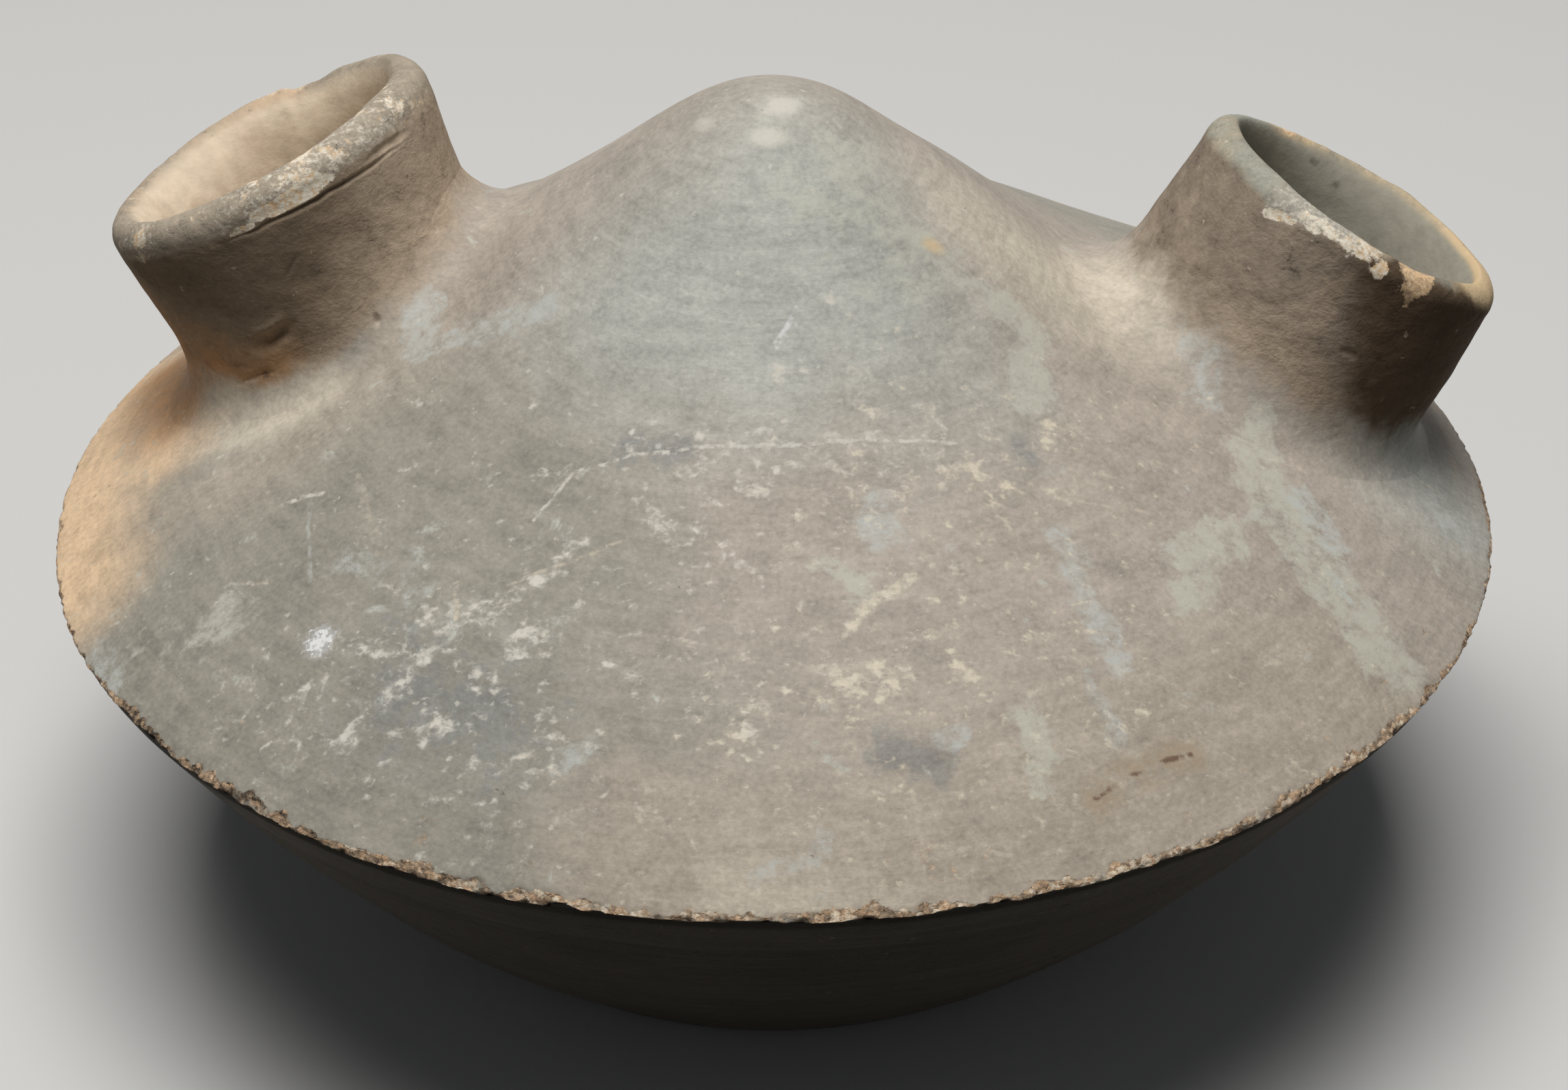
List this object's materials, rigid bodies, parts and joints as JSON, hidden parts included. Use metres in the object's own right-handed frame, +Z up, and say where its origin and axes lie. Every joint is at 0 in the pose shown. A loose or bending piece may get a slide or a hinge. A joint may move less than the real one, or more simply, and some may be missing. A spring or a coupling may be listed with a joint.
{
  "type": "double-spouted jar",
  "caption": "Hand-built unglazed pottery jar: flat base, sharp-edged bowl, domed shoulder with a closed peak, and an open spout leaning out on either side, to hold and pour liquid.",
  "frame": {"origin": "middle of the flat base, on the surface that the jar stands on", "axes": "+Z up along the jar's axis through the peak; seen from the front along +Y, the left spout is towards -X and the right spout towards +X"},
  "size_m": [0.1995, 0.199, 0.1189],
  "materials": {
    "base_clay": "matte, worn by standing",
    "bowl_clay": "matte, wiped in level streaks",
    "edge_clay": "rough and chipped",
    "shoulder_clay": "low burnish, mottled",
    "peak_clay": "low burnish, mottled",
    "left_neck_clay": "matte, grainy",
    "left_lip_clay": "rough and worn",
    "left_luting_clay": "matte, smeared",
    "right_neck_clay": "matte, grainy",
    "right_lip_clay": "rough and worn",
    "right_luting_clay": "matte, smeared"
  },
  "bodies": {
    "root": {"base_disc": "base_clay", "lower_bowl": "bowl_clay", "seam_coil": "edge_clay", "shoulder": "shoulder_clay", "apex_plug": "peak_clay", "left_spout_neck": "left_neck_clay", "left_spout_lip": "left_lip_clay", "left_luting_collar": "left_luting_clay", "right_spout_neck": "right_neck_clay", "right_spout_lip": "right_lip_clay", "right_luting_collar": "right_luting_clay"}
  },
  "joints": []
}
